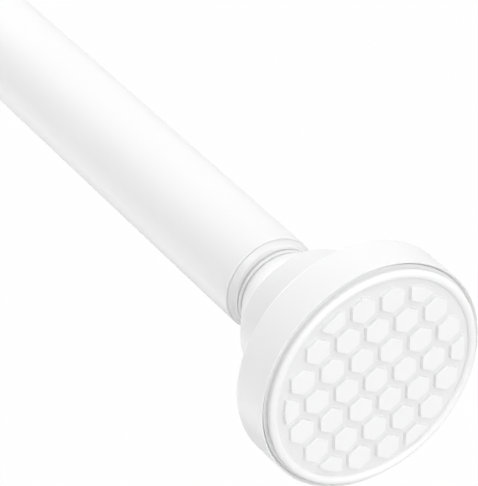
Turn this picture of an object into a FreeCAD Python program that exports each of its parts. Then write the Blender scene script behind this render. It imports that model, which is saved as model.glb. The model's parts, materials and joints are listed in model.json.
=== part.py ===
import FreeCAD, Part

import math
import os

# Spring tension rod: two telescoping tubes between a pair of studded wall pads.
# A twist lock and a lead screw inside the tubes set its length, and a coil spring
# gives the thrust. Millimetres. +X runs along the rod from the large end's wall
# plane at x = 0, +Z is up, and the origin is the centre of that pad's face.

# Grip pad
BEAD_R = 28.35
BEAD_WIDTH = 2.2
BEAD_HEIGHT = 1.1
BEAD_ROUND = 1.05
BEAD_FOOT_TAPER = 0.7
PAD_BACK_WALL = 1.5
PAD_PLUG_LENGTH = 3.0
PAD_EDGE_GAP = 0.12
STUD_PITCH = 7.95
STUD_FLATS = 5.95
STUD_RINGS = 3
STUD_FIELD_R = 24.5
STUD_DRAFT = 0.08
STUD_EDGE = 0.18

# End cap
PAD_STAND_OFF = 1.85
SKIRT_DROP = 1.05
LIP_WIDTH = 0.25
LIP_ROOT = 0.85
FLANGE_FRONT_R = BEAD_R + 1.4
FLANGE_REAR_R = FLANGE_FRONT_R + 0.1
FLANGE_WIDTH = 10.8
HUB_R = 17.3
HUB_LENGTH = 18.75
CONE_LENGTH = 10.3
NOSE_R = 10.5
NOSE_ROUND = 0.25
CAP_WALL = 2.2
CAP_EDGE_ROUND = 0.5
PAD_SEAT_WIDTH = 2.0
NOSE_WALL = 3.2
CAP_RIBS = 6
CAP_RIB_WIDTH = 1.6

# Swivel between the cap and its plug
SPIGOT_R = 5.0
RUNNING_GAP = 0.08
END_FLOAT = 0.1
RING_WIDTH = 0.8
RING_ROUND = 0.3
LARGE_RING_R = NOSE_R + 0.55
SMALL_RING_R = NOSE_R + 0.4
NECK_LENGTH = 3.3
NECK_WAIST = 1.15
NECK_GROOVE_WIDTH = 0.7
NECK_GROOVE_DEPTH = 0.75
NECK_FLARE_LENGTH = 0.95
NECK_FLARE_ROUND = 1.0
SHOULDER_STEP = 0.4
SHOULDER_GAP = 0.45
TUBE_SEAT_STEP = 0.1

# Plug in the tube's end
FIXED_GAP = 0.03
PLUG_LENGTH = 24.0
PLUG_WALL = 1.8
PLUG_WEB = 3.0
PLUG_RIBS = 4
PLUG_RIB_WIDTH = 1.4
BOSS_WALL = 2.4

# Screw that holds the cap on its plug
SCREW_R = 2.0
SCREW_HEAD_R = 4.0
SCREW_HEAD_HEIGHT = 3.1
SCREW_LENGTH = 18.0
SCREW_POINT = 2.0
RECESS_SPAN = 4.4
RECESS_WIDTH = 0.9
RECESS_DEPTH = 1.7
WASHER_R = 7.4
WASHER_WIDTH = 1.0
WELL_R = WASHER_R + 0.6

# Tubes and the collar at the large tube's mouth
LARGE_TUBE_R = 12.5
TUBE_STEP = 1.5
TUBE_WALL = 0.8
TUBE_EDGE_ROUND = 0.25
LARGE_TUBE_LENGTH = 380.0
SMALL_TUBE_LENGTH = 300.0
EXPOSED_AT_REST = 110.0
COLLAR_SLEEVE = 25.0
COLLAR_LIP_WIDTH = 3.5
COLLAR_LIP_STEP = 0.7
COLLAR_EDGE_ROUND = 1.2

# Twist lock
JOURNAL_R = 3.0
GUIDE_WIDTH = 6.0
GUIDE_RIM = 1.8
GUIDE_WEB = 2.2
GUIDE_GAP = 0.1
GUIDE_NOTCHES = 4
GUIDE_NOTCH_WIDTH = 3.0
CLIP_WIDTH = 1.2
CLIP_RIM = 1.8
CLIP_TEETH = 6
LOCK_RING_GAP = 0.5
LOCK_RING_WIDTH = 16.0
LOCK_RING_SPLIT = 2.5
LOCK_OFFSET = 0.8
LOCK_BOSS_R = 8.0
LOCK_SIDE_GAP = 0.3
LOCK_GRIPS = 18
LOCK_GRIP_R = 0.45
HUB_FLANGE_R = 10.6
HUB_TAIL_FLANGE = 2.5
HUB_PIN_FLANGE = 5.0
HUB_TO_BUSH = 26.5
PIN_R = 1.0

# Lead screw, its nut slider and the pressure spring
LEAD_SCREW_R = 4.0
TIP_JOURNAL_R = 2.5
NUT_TRAVEL = 25.0
INSERT_R = 6.2
INSERT_LENGTH = 14.0
TIP_GUIDE_WIDTH = 4.0
TIP_GUIDE_GAP = 0.3
TIP_EAR_REACH = 1.1
TIP_EAR_WIDTH = 2.0
EAR_SIDE_GAP = 0.2
SLIDER_END = 0.8
BUSH_LENGTH = 10.0
BUSH_LIP_WIDTH = 2.0
BUSH_LIP_GAP = 0.2
BUSH_SCREW_GAP = 0.6
SLIDER_REST_GAP = 0.2
DIMPLE_PIT_R = 1.6
DIMPLE_RISE = 0.9
KEYWAY_SIDE_GAP = 0.25
KEYWAY_FLOOR_GAP = 0.4
SPRING_WIRE_R = 0.9
SPRING_TURNS = 9
SPRING_LENGTH = 70.0
SPRING_WALL_GAP = 1.4
SEAT_WIDTH = 1.0
SEAT_TUBE_GAP = 0.5
STOP_LENGTH = 10.0
STOP_BORE_R = 5.0

# Places along the rod at the large end, which the small end repeats turned round
FLOOR_X = BEAD_HEIGHT
SKIRT_X = PAD_STAND_OFF + SKIRT_DROP
SEAT_X = SKIRT_X + PAD_BACK_WALL
SEAT_R = FLANGE_FRONT_R - LIP_ROOT
FLANGE_REAR_X = PAD_STAND_OFF + FLANGE_WIDTH
CREASE_X = FLANGE_REAR_X + HUB_LENGTH
NOSE_X = CREASE_X + CONE_LENGTH
WELL_X = NOSE_X - NOSE_WALL
RING_X = NOSE_X + END_FLOAT
NECK_X = RING_X + RING_WIDTH
END_STACK = NECK_X + NECK_LENGTH
SPIGOT_X = WELL_X - END_FLOAT
WASHER_X = SPIGOT_X - WASHER_WIDTH
HEAD_X = WASHER_X - SCREW_HEAD_HEIGHT

# Tube radii and ends at rest
LARGE_BORE_R = LARGE_TUBE_R - TUBE_WALL
SMALL_TUBE_R = LARGE_TUBE_R - TUBE_STEP
SMALL_BORE_R = SMALL_TUBE_R - TUBE_WALL
LARGE_MOUTH_X = END_STACK + LARGE_TUBE_LENGTH
SMALL_END_X = LARGE_MOUTH_X + EXPOSED_AT_REST
SMALL_START_X = SMALL_END_X - SMALL_TUBE_LENGTH
ROD_LENGTH = SMALL_END_X + END_STACK

# Places of the mechanism at rest
BUSH_X = SMALL_START_X - BUSH_LIP_WIDTH
HUB_END_X = BUSH_X - HUB_TO_BUSH
PIN_FLANGE_X = HUB_END_X - HUB_PIN_FLANGE
BOSS_X = PIN_FLANGE_X - LOCK_RING_WIDTH - 2 * LOCK_SIDE_GAP
HUB_START_X = BOSS_X - HUB_TAIL_FLANGE
GUIDE_X = HUB_START_X - LOCK_SIDE_GAP - GUIDE_WIDTH
TAIL_CLIP_X = GUIDE_X - LOCK_SIDE_GAP - CLIP_WIDTH
SLIDER_X = SMALL_START_X + BUSH_LENGTH + SLIDER_REST_GAP
TIP_GUIDE_X = SLIDER_X + INSERT_LENGTH + NUT_TRAVEL + SLIDER_REST_GAP
SLIDER_END_X = TIP_GUIDE_X + TIP_GUIDE_WIDTH + SLIDER_END
TIP_CLIP_X = TIP_GUIDE_X + TIP_GUIDE_WIDTH + SLIDER_REST_GAP
SPRING_X = SLIDER_END_X + SEAT_WIDTH
SPRING_END_X = SPRING_X + SPRING_LENGTH
STOP_X = SPRING_END_X + SEAT_WIDTH
DIMPLE_R = SMALL_TUBE_R + DIMPLE_RISE
DIMPLE_BULGE_R = DIMPLE_PIT_R + TUBE_WALL
KEY_DIMPLE_X = SLIDER_END_X - 2 * DIMPLE_BULGE_R
STOP_DIMPLE_X = STOP_X + STOP_LENGTH / 2

X_AXIS = FreeCAD.Vector(1, 0, 0)
Z_AXIS = FreeCAD.Vector(0, 0, 1)
ORIGIN = FreeCAD.Vector(0, 0, 0)
FULL_TURN = 360.0
MARGIN = 1.0
NO_LENGTH = 1e-6
CHAMFER = "chamfer"


def outline(corners):
    """Closed wire in the XY plane from corners (x, radius), each sharp by itself.
    A third value rounds the corner, and CHAMFER after it cuts the corner off instead."""
    points = [FreeCAD.Vector(corner[0], corner[1], 0) for corner in corners]
    starts = []
    ends = []
    bends = []
    for index, corner in enumerate(corners):
        here = points[index]
        if len(corner) < 3:
            starts.append(here)
            ends.append(here)
            bends.append(None)
            continue
        back = (points[index - 1] - here).normalize()
        ahead = (points[(index + 1) % len(points)] - here).normalize()
        half = back.getAngle(ahead) / 2
        reach = corner[2] / math.tan(half)
        start = here + back * reach
        end = here + ahead * reach
        if CHAMFER in corner[3:]:
            bends.append(Part.makeLine(start, end))
        else:
            depth = corner[2] / math.sin(half) - corner[2]
            crown = here + (back + ahead).normalize() * depth
            bends.append(Part.Arc(start, crown, end).toShape())
        starts.append(start)
        ends.append(end)
    edges = []
    for index in range(len(points)):
        if bends[index]:
            edges.append(bends[index])
        following = starts[(index + 1) % len(points)]
        if ends[index].distanceToPoint(following) > NO_LENGTH:
            edges.append(Part.makeLine(ends[index], following))
    return Part.Wire(edges)


def turned(corners):
    """Solid of revolution about the rod's axis."""
    face = Part.Face(outline(corners))
    return face.revolve(ORIGIN, X_AXIS, FULL_TURN)


def rod(start, end, radius):
    return Part.makeCylinder(radius, end - start, FreeCAD.Vector(start, 0, 0), X_AXIS)


def pipe(start, end, radius, bore):
    return rod(start, end, radius).cut(rod(start - MARGIN, end + MARGIN, bore))


def bar(start, end, width, inner, outer):
    """Radial bar along +Z, from radius inner to radius outer."""
    corner = FreeCAD.Vector(start, -width / 2, inner)
    return Part.makeBox(end - start, width, outer - inner, corner)


def around(shape, count, first=0.0):
    """Copies of a shape, evenly spaced about the rod's axis."""
    copies = []
    for index in range(count):
        copy = shape.copy()
        copy.rotate(ORIGIN, X_AXIS, first + index * FULL_TURN / count)
        copies.append(copy)
    return copies


def far_end(shape):
    """The same piece at the small end, turned to face the other wall."""
    copy = shape.copy()
    copy.rotate(ORIGIN, Z_AXIS, FULL_TURN / 2)
    copy.translate(FreeCAD.Vector(ROD_LENGTH, 0, 0))
    return copy


def hexagon(x, flats):
    """Hexagon across the axis at x, with a corner on top."""
    radius = flats / math.sqrt(3)
    points = []
    for index in range(7):
        angle = math.radians(90 + 60 * index)
        points.append(FreeCAD.Vector(x, radius * math.cos(angle), radius * math.sin(angle)))
    return Part.makePolygon(points)


def stud():
    """One grip stud on the axis: a drafted hexagon with a bevelled top edge."""
    foot = hexagon(FLOOR_X, STUD_FLATS + 2 * STUD_DRAFT)
    brow = hexagon(STUD_EDGE, STUD_FLATS)
    top = hexagon(0, STUD_FLATS - 2 * STUD_EDGE)
    return Part.makeLoft([foot, brow, top], True, True)


def stud_places():
    """Honeycomb lattice with a stud on the axis and rows along Y."""
    places = []
    for column in range(-STUD_RINGS, STUD_RINGS + 1):
        for row in range(-STUD_RINGS, STUD_RINGS + 1):
            if abs(column + row) <= STUD_RINGS:
                y = STUD_PITCH * (column + row / 2)
                z = STUD_PITCH * row * math.sqrt(3) / 2
                places.append(FreeCAD.Vector(0, y, z))
    return places


def grip_pad():
    """Soft wall pad: a rim bead round a field of hexagon studs, on a seated disc."""
    back_r = SEAT_R - PAD_EDGE_GAP
    foot_r = BEAD_R - BEAD_FOOT_TAPER
    bead_in = BEAD_R - BEAD_WIDTH
    plug_r = WELL_R - PAD_EDGE_GAP
    disc = turned([
        (FLOOR_X, 0),
        (FLOOR_X, bead_in),
        (0, bead_in, BEAD_ROUND),
        (0, BEAD_R, BEAD_ROUND),
        (BEAD_WIDTH / 2, BEAD_R),
        (SKIRT_X, foot_r),
        (SKIRT_X, back_r),
        (SEAT_X, back_r),
        (SEAT_X, plug_r),
        (SEAT_X + PAD_PLUG_LENGTH, plug_r),
        (SEAT_X + PAD_PLUG_LENGTH, 0),
    ])
    field = rod(-MARGIN, FLOOR_X + MARGIN, STUD_FIELD_R)
    studs = []
    pattern = stud()
    for place in stud_places():
        copy = pattern.copy()
        copy.translate(place)
        if place.Length + STUD_FLATS / math.sqrt(3) > STUD_FIELD_R:
            copy = copy.common(field)
        studs.append(copy)
    return disc.multiFuse(studs)


def cap_cavity():
    """Cored space between the cap's outer wall and its screw well, open to the pad."""
    well_out = WELL_R + CAP_WALL
    hub_in = HUB_R - CAP_WALL
    slope = (HUB_R - NOSE_R) / CONE_LENGTH
    cone_wall = CAP_WALL * math.sqrt(1 + slope * slope)
    crease = CREASE_X - (cone_wall - CAP_WALL) / slope
    apex = crease + (hub_in - well_out) / slope
    return turned([
        (SEAT_X, well_out),
        (SEAT_X, SEAT_R - PAD_SEAT_WIDTH),
        (FLANGE_REAR_X - CAP_WALL, SEAT_R - PAD_SEAT_WIDTH),
        (FLANGE_REAR_X - CAP_WALL, hub_in),
        (crease, hub_in),
        (apex, well_out),
    ])


def end_cap():
    """Moulded cap: wide flange, hub and cone, cored out and ribbed behind the pad."""
    body = turned([
        (PAD_STAND_OFF, FLANGE_FRONT_R),
        (FLANGE_REAR_X, FLANGE_REAR_R, CAP_EDGE_ROUND),
        (FLANGE_REAR_X, HUB_R),
        (CREASE_X, HUB_R, CAP_EDGE_ROUND),
        (NOSE_X, NOSE_R, NOSE_ROUND),
        (NOSE_X, SPIGOT_R + RUNNING_GAP),
        (WELL_X, SPIGOT_R + RUNNING_GAP),
        (WELL_X, WELL_R),
        (SEAT_X, WELL_R),
        (SEAT_X, SEAT_R),
        (SKIRT_X, SEAT_R),
        (PAD_STAND_OFF, FLANGE_FRONT_R - LIP_WIDTH),
    ])
    cavity = cap_cavity()
    rib = bar(SEAT_X, CREASE_X, CAP_RIB_WIDTH, WELL_R + CAP_WALL / 2, SEAT_R)
    ribs = [piece.common(cavity) for piece in around(rib, CAP_RIBS, FULL_TURN / CAP_RIBS / 2)]
    return body.cut(cavity).multiFuse(ribs)


def spacer_ring(radius):
    """Thin thrust ring with a soft rim between the cap's nose and the plug's neck."""
    return turned([
        (RING_X, SPIGOT_R + FIXED_GAP),
        (RING_X, radius, RING_ROUND),
        (NECK_X, radius, RING_ROUND),
        (NECK_X, SPIGOT_R + FIXED_GAP),
    ])


def end_plug(tube_r):
    """Plug with a grooved and flared neck, a swivel spigot and a ribbed sleeve in the tube."""
    sleeve_r = tube_r - TUBE_WALL - FIXED_GAP
    seat_r = tube_r - TUBE_WALL + TUBE_SEAT_STEP
    shoulder_x = END_STACK - SHOULDER_GAP
    shoulder_r = tube_r - SHOULDER_STEP
    groove_x = NECK_X + NECK_GROOVE_WIDTH
    waist = shoulder_r - NECK_WAIST
    boss_r = SCREW_R + BOSS_WALL
    pilot = SCREW_R + FIXED_GAP
    boss_end = WASHER_X + WASHER_WIDTH + SCREW_LENGTH + PLUG_WEB
    web_x = END_STACK + PLUG_WEB
    sleeve_end = END_STACK + PLUG_LENGTH
    body = turned([
        (SPIGOT_X, pilot),
        (SPIGOT_X, SPIGOT_R),
        (NECK_X, SPIGOT_R),
        (NECK_X, waist - NECK_GROOVE_DEPTH),
        (groove_x, waist - NECK_GROOVE_DEPTH),
        (groove_x, waist),
        (shoulder_x - NECK_FLARE_LENGTH, waist, NECK_FLARE_ROUND),
        (shoulder_x, shoulder_r),
        (shoulder_x, seat_r),
        (END_STACK, seat_r),
        (END_STACK, sleeve_r),
        (sleeve_end, sleeve_r, PLUG_WALL / 2, CHAMFER),
        (sleeve_end, sleeve_r - PLUG_WALL),
        (web_x, sleeve_r - PLUG_WALL),
        (web_x, boss_r),
        (boss_end, boss_r),
        (boss_end, pilot),
    ])
    rib = bar(web_x, boss_end, PLUG_RIB_WIDTH, boss_r - BOSS_WALL / 2, sleeve_r - PLUG_WALL / 2)
    return body.multiFuse(around(rib, PLUG_RIBS))


def cap_screw():
    """Pan-head screw with a cross recess; its thread is drawn as the plain core."""
    tip = WASHER_X + SCREW_LENGTH
    body = turned([
        (HEAD_X, 0),
        (HEAD_X, SCREW_HEAD_R, SCREW_HEAD_HEIGHT / 2),
        (WASHER_X, SCREW_HEAD_R),
        (WASHER_X, SCREW_R),
        (tip - SCREW_POINT, SCREW_R),
        (tip, SCREW_R / 4),
        (tip, 0),
    ])
    slot = bar(HEAD_X - MARGIN, HEAD_X + RECESS_DEPTH, RECESS_WIDTH, -RECESS_SPAN / 2, RECESS_SPAN / 2)
    return body.cut(around(slot, 4)[0]).cut(around(slot, 4)[1])


def screw_washer():
    """Plain washer, clamped on the spigot's end, that keeps the cap on."""
    return pipe(WASHER_X, SPIGOT_X, WASHER_R, SCREW_R + FIXED_GAP)


def plain_tube(start, end, radius):
    """Tube with softly rounded outer edges at both ends."""
    bore = radius - TUBE_WALL
    return turned([
        (start, bore),
        (start, radius, TUBE_EDGE_ROUND),
        (end, radius, TUBE_EDGE_ROUND),
        (end, bore),
    ])


def tube_collar():
    """Collar at the large tube's mouth: a lip outside and a guide sleeve inside."""
    bore = SMALL_TUBE_R + RUNNING_GAP
    sleeve = LARGE_BORE_R - FIXED_GAP
    lip = LARGE_TUBE_R + COLLAR_LIP_STEP
    lip_end = LARGE_MOUTH_X + COLLAR_LIP_WIDTH
    return turned([
        (LARGE_MOUTH_X - COLLAR_SLEEVE, bore),
        (LARGE_MOUTH_X - COLLAR_SLEEVE, sleeve),
        (LARGE_MOUTH_X, sleeve),
        (LARGE_MOUTH_X, lip, CAP_EDGE_ROUND / 2, CHAMFER),
        (lip_end, lip, COLLAR_EDGE_ROUND),
        (lip_end, bore),
    ])


def dimples(x, radius):
    """A pair of balls, on +Z and -Z, that press two dimples into the small tube."""
    ball = Part.makeSphere(radius, FreeCAD.Vector(x, 0, DIMPLE_R))
    return around(ball, 2)


def small_tube():
    """Inner tube, dimpled to key the nut slider and to hold the spring's stop."""
    tube = plain_tube(SMALL_START_X, SMALL_END_X, SMALL_TUBE_R)
    inside = rod(SMALL_START_X, SMALL_END_X, SMALL_TUBE_R)
    for place in (KEY_DIMPLE_X, STOP_DIMPLE_X):
        bulges = [ball.common(inside) for ball in dimples(place, DIMPLE_BULGE_R)]
        tube = tube.multiFuse(bulges)
        for pit in dimples(place, DIMPLE_PIT_R):
            tube = tube.cut(pit)
    return tube


def tail_guide():
    """Disc that carries the lead screw's tail journal along the large tube."""
    rim = LARGE_BORE_R - GUIDE_GAP
    hub = JOURNAL_R + RUNNING_GAP + GUIDE_RIM
    web_x = GUIDE_X + (GUIDE_WIDTH - GUIDE_WEB) / 2
    disc = pipe(GUIDE_X, GUIDE_X + GUIDE_WIDTH, rim, JOURNAL_R + RUNNING_GAP)
    front = pipe(GUIDE_X - MARGIN, web_x, rim - GUIDE_RIM, hub)
    back = pipe(web_x + GUIDE_WEB, GUIDE_X + GUIDE_WIDTH + MARGIN, rim - GUIDE_RIM, hub)
    notch = bar(GUIDE_X - MARGIN, GUIDE_X + GUIDE_WIDTH + MARGIN, GUIDE_NOTCH_WIDTH,
                rim - GUIDE_RIM / 2, rim + MARGIN)
    disc = disc.cut(front).cut(back)
    for piece in around(notch, GUIDE_NOTCHES):
        disc = disc.cut(piece)
    return disc


def push_clip(start, journal):
    """Push-on clip: a thin ring with slits between its gripping teeth."""
    clip = pipe(start, start + CLIP_WIDTH, journal + CLIP_RIM, journal + FIXED_GAP)
    slit = bar(start - MARGIN, start + CLIP_WIDTH + MARGIN, CLIP_WIDTH / 2, 0, journal + CLIP_RIM / 2)
    for piece in around(slit, CLIP_TEETH):
        clip = clip.cut(piece)
    return clip


def lead_screw():
    """Steel spindle: tail journal, threaded length drawn at its crest, tip journal."""
    tail = TAIL_CLIP_X - MARGIN
    tip = TIP_CLIP_X + CLIP_WIDTH + MARGIN / 2
    thread_end = TIP_GUIDE_X
    body = turned([
        (tail, 0),
        (tail, JOURNAL_R, MARGIN / 2, CHAMFER),
        (HUB_START_X, JOURNAL_R),
        (HUB_START_X, LEAD_SCREW_R),
        (thread_end, LEAD_SCREW_R, MARGIN / 2, CHAMFER),
        (thread_end, TIP_JOURNAL_R),
        (tip, TIP_JOURNAL_R, MARGIN / 2, CHAMFER),
        (tip, 0),
    ])
    return body.cut(cross_hole())


def cross_hole():
    """Hole for the pin, across the hub's inner flange and the lead screw."""
    start = FreeCAD.Vector(PIN_FLANGE_X + HUB_PIN_FLANGE / 2, 0, -HUB_FLANGE_R - MARGIN)
    return Part.makeCylinder(PIN_R + FIXED_GAP, 2 * (HUB_FLANGE_R + MARGIN), start, Z_AXIS)


def hub_pin():
    """Cross pin that fixes the eccentric hub to the lead screw."""
    half = HUB_FLANGE_R - PIN_R / 2
    start = FreeCAD.Vector(PIN_FLANGE_X + HUB_PIN_FLANGE / 2, 0, -half)
    return Part.makeCylinder(PIN_R, 2 * half, start, Z_AXIS)


def eccentric_hub():
    """Hub with an off-centre boss between two flanges, which carries the lock ring."""
    tail = rod(HUB_START_X, BOSS_X, HUB_FLANGE_R)
    inner = rod(PIN_FLANGE_X, HUB_END_X, HUB_FLANGE_R)
    boss = rod(BOSS_X, PIN_FLANGE_X, LOCK_BOSS_R)
    boss.translate(Z_AXIS * LOCK_OFFSET)
    bore = rod(HUB_START_X - MARGIN, HUB_END_X + MARGIN, LEAD_SCREW_R + FIXED_GAP)
    return tail.multiFuse([boss, inner]).cut(bore).cut(cross_hole())


def lock_ring():
    """Split ring, bored off centre: turning the hub in it forces it on the tube."""
    start = BOSS_X + LOCK_SIDE_GAP
    end = start + LOCK_RING_WIDTH
    radius = LARGE_BORE_R - LOCK_RING_GAP
    bore = rod(start - MARGIN, end + MARGIN, LOCK_BOSS_R + RUNNING_GAP)
    bore.translate(Z_AXIS * LOCK_OFFSET)
    ring = rod(start, end, radius).cut(bore)
    ring = ring.cut(bar(start - MARGIN, end + MARGIN, LOCK_RING_SPLIT, LOCK_OFFSET, radius + MARGIN))
    grip = rod(start - MARGIN, end + MARGIN, LOCK_GRIP_R)
    grip.translate(Z_AXIS * radius)
    for piece in around(grip, LOCK_GRIPS)[1:]:
        ring = ring.cut(piece)
    return ring


def end_bush():
    """Bush in the small tube's inner end; its lip rides in the large tube."""
    return turned([
        (BUSH_X, LEAD_SCREW_R + BUSH_SCREW_GAP),
        (BUSH_X, LARGE_BORE_R - BUSH_LIP_GAP, TUBE_EDGE_ROUND, CHAMFER),
        (SMALL_START_X, LARGE_BORE_R - BUSH_LIP_GAP, TUBE_EDGE_ROUND, CHAMFER),
        (SMALL_START_X, SMALL_BORE_R - FIXED_GAP),
        (SMALL_START_X + BUSH_LENGTH, SMALL_BORE_R - FIXED_GAP),
        (SMALL_START_X + BUSH_LENGTH, LEAD_SCREW_R + BUSH_SCREW_GAP),
    ])


def keyway(x, end):
    """Straight groove along the slider for one dimple of the small tube."""
    wall = SMALL_BORE_R - RUNNING_GAP
    rise = DIMPLE_R - SMALL_BORE_R
    half = math.sqrt(DIMPLE_BULGE_R ** 2 - rise ** 2) + KEYWAY_SIDE_GAP
    floor = DIMPLE_R - DIMPLE_BULGE_R - KEYWAY_FLOOR_GAP
    return bar(x - MARGIN, end + MARGIN, 2 * half, floor, wall + MARGIN)


def nut_slider():
    """Keyed slider in the small tube, which holds the nut and pushes the spring."""
    slider = pipe(SLIDER_X, SLIDER_END_X, SMALL_BORE_R - RUNNING_GAP, INSERT_R + FIXED_GAP)
    for groove in around(keyway(SLIDER_X, SLIDER_END_X), 2):
        slider = slider.cut(groove)
    ear_slot = bar(SLIDER_X + INSERT_LENGTH, SLIDER_END_X + MARGIN, TIP_EAR_WIDTH + 2 * EAR_SIDE_GAP,
                   0, INSERT_R + TIP_EAR_REACH)
    for slot in around(ear_slot, 2, FULL_TURN / 4):
        slider = slider.cut(slot)
    return slider


def threaded_insert():
    """Brass nut in the slider, bored at the lead screw's crest with running room."""
    return pipe(SLIDER_X, SLIDER_X + INSERT_LENGTH, INSERT_R, LEAD_SCREW_R + RUNNING_GAP)


def tip_guide():
    """Guide on the lead screw's tip, keyed by two ears to turn with the slider."""
    radius = INSERT_R - TIP_GUIDE_GAP
    end = TIP_GUIDE_X + TIP_GUIDE_WIDTH
    disc = rod(TIP_GUIDE_X, end, radius)
    ear = bar(TIP_GUIDE_X, end, TIP_EAR_WIDTH, TIP_JOURNAL_R, radius + TIP_EAR_REACH)
    bore = rod(TIP_GUIDE_X - MARGIN, end + MARGIN, TIP_JOURNAL_R + RUNNING_GAP)
    return disc.multiFuse(around(ear, 2, FULL_TURN / 4)).cut(bore)


def spring_washer(start):
    """Flat washer that seats one end of the spring."""
    spring_in = spring_mean_r() - SPRING_WIRE_R
    return pipe(start, start + SEAT_WIDTH, SMALL_BORE_R - SEAT_TUBE_GAP, spring_in - MARGIN)


def spring_mean_r():
    return SMALL_BORE_R - SPRING_WALL_GAP - SPRING_WIRE_R


def pressure_spring():
    """Compression spring of round wire, ground flat at both ends."""
    pitch = SPRING_LENGTH / SPRING_TURNS
    height = SPRING_LENGTH + 2 * SPRING_WIRE_R
    path = Part.makeHelix(pitch, height, spring_mean_r())
    start = FreeCAD.Vector(spring_mean_r(), 0, 0)
    ring = Part.makeCircle(SPRING_WIRE_R, start, FreeCAD.Vector(0, 1, 0))
    coil = Part.Wire(path).makePipeShell([Part.Wire(ring)], True, True)
    coil.rotate(ORIGIN, FreeCAD.Vector(0, 1, 0), 90)
    coil.translate(FreeCAD.Vector(SPRING_X - SPRING_WIRE_R, 0, 0))
    return coil.common(rod(SPRING_X, SPRING_END_X, SMALL_BORE_R))


def spring_stop():
    """Stop for the spring, held by the small tube's dimples in its groove."""
    groove_half = DIMPLE_BULGE_R
    floor = DIMPLE_R - DIMPLE_BULGE_R - KEYWAY_FLOOR_GAP
    wall = SMALL_BORE_R - FIXED_GAP
    return turned([
        (STOP_X, STOP_BORE_R),
        (STOP_X, wall),
        (STOP_DIMPLE_X - groove_half, wall),
        (STOP_DIMPLE_X - groove_half, floor),
        (STOP_DIMPLE_X + groove_half, floor),
        (STOP_DIMPLE_X + groove_half, wall),
        (STOP_X + STOP_LENGTH, wall),
        (STOP_X + STOP_LENGTH, STOP_BORE_R),
    ])


def pieces():
    """Every piece of the rod at rest, by name."""
    pad = grip_pad()
    cap = end_cap()
    screw = cap_screw()
    washer = screw_washer()
    return {
        "large_grip_pad": pad,
        "large_end_cap": cap,
        "large_spacer_ring": spacer_ring(LARGE_RING_R),
        "large_end_plug": end_plug(LARGE_TUBE_R),
        "large_cap_screw": screw,
        "large_screw_washer": washer,
        "large_tube": plain_tube(END_STACK, LARGE_MOUTH_X, LARGE_TUBE_R),
        "tube_collar": tube_collar(),
        "tail_guide": tail_guide(),
        "tail_clip": push_clip(TAIL_CLIP_X, JOURNAL_R),
        "lead_screw": lead_screw(),
        "eccentric_hub": eccentric_hub(),
        "hub_pin": hub_pin(),
        "lock_ring": lock_ring(),
        "tip_guide": tip_guide(),
        "tip_clip": push_clip(TIP_CLIP_X, TIP_JOURNAL_R),
        "nut_slider": nut_slider(),
        "threaded_insert": threaded_insert(),
        "slider_washer": spring_washer(SLIDER_END_X),
        "pressure_spring": pressure_spring(),
        "stop_washer": spring_washer(SPRING_END_X),
        "spring_stop": spring_stop(),
        "inner_end_bush": end_bush(),
        "small_tube": small_tube(),
        "small_end_plug": far_end(end_plug(SMALL_TUBE_R)),
        "small_spacer_ring": far_end(spacer_ring(SMALL_RING_R)),
        "small_cap_screw": far_end(screw),
        "small_screw_washer": far_end(washer),
        "small_end_cap": far_end(cap),
        "small_grip_pad": far_end(pad),
    }


def main():
    os.makedirs("parts", exist_ok=True)
    for name, shape in pieces().items():
        shape.exportStep(os.path.join("parts", name + ".step"))


main()
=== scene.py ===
import json
import math

import bpy
from bpy.props import FloatProperty, FloatVectorProperty, IntProperty, PointerProperty
from bpy.types import Operator, Panel, PropertyGroup
from mathutils import Matrix, Vector


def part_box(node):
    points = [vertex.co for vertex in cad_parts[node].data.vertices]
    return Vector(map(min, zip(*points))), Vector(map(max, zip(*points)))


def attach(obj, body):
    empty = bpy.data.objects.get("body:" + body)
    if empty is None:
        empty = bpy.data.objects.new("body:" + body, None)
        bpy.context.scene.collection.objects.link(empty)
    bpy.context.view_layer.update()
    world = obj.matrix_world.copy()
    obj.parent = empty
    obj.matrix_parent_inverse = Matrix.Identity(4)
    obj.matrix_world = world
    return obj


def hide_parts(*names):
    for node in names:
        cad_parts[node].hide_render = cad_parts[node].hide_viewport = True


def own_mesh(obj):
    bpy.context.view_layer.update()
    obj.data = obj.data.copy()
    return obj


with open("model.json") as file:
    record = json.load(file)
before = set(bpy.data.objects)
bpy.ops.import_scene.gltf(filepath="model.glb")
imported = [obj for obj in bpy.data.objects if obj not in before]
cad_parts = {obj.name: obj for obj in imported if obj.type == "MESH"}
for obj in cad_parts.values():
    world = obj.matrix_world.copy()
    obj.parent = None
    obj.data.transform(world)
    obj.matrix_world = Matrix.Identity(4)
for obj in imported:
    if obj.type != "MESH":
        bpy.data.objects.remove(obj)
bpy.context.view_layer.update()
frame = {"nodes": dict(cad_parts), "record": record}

bl_info = {
    "name": "Spring Tension Rod",
    "version": (1, 0, 0),
    "blender": (4, 5, 0),
    "location": "3D View > Sidebar > Rod",
    "description": "Dresses a telescoping tension rod with studded wall pads",
    "category": "Object",
}

MM = 0.001
FULL_TURN = 2 * math.pi
HALF_TURN = math.pi
QUARTER_TURN = math.pi / 2
HEXAGON = 6
SAME_PLACE = 1e-6
SHARP_ANGLE = math.radians(35)

# At a scale of 1, the wave texture's phase grows by this many radians in a metre.
WAVE_RATE = 20

# The name of each material slot's finish, filled in as the finishes are made.
FINISH_NAMES = {}

# The camera's own directions, its place from the rim of the large end's cap, and its
# lens and sensor in millimetres.
VIEW_RIGHT = Vector((-0.5207, -0.8537, 0))
VIEW_BACK = Vector((-0.7118, 0.4342, 0.5523))
VIEW_TARGET = Vector((1.5, 0, 0)) * MM
VIEW_OFFSET = Vector((-30.584, 30.685, 655.016)) * MM
LENS = 212.17
SENSOR = 36.0

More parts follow.
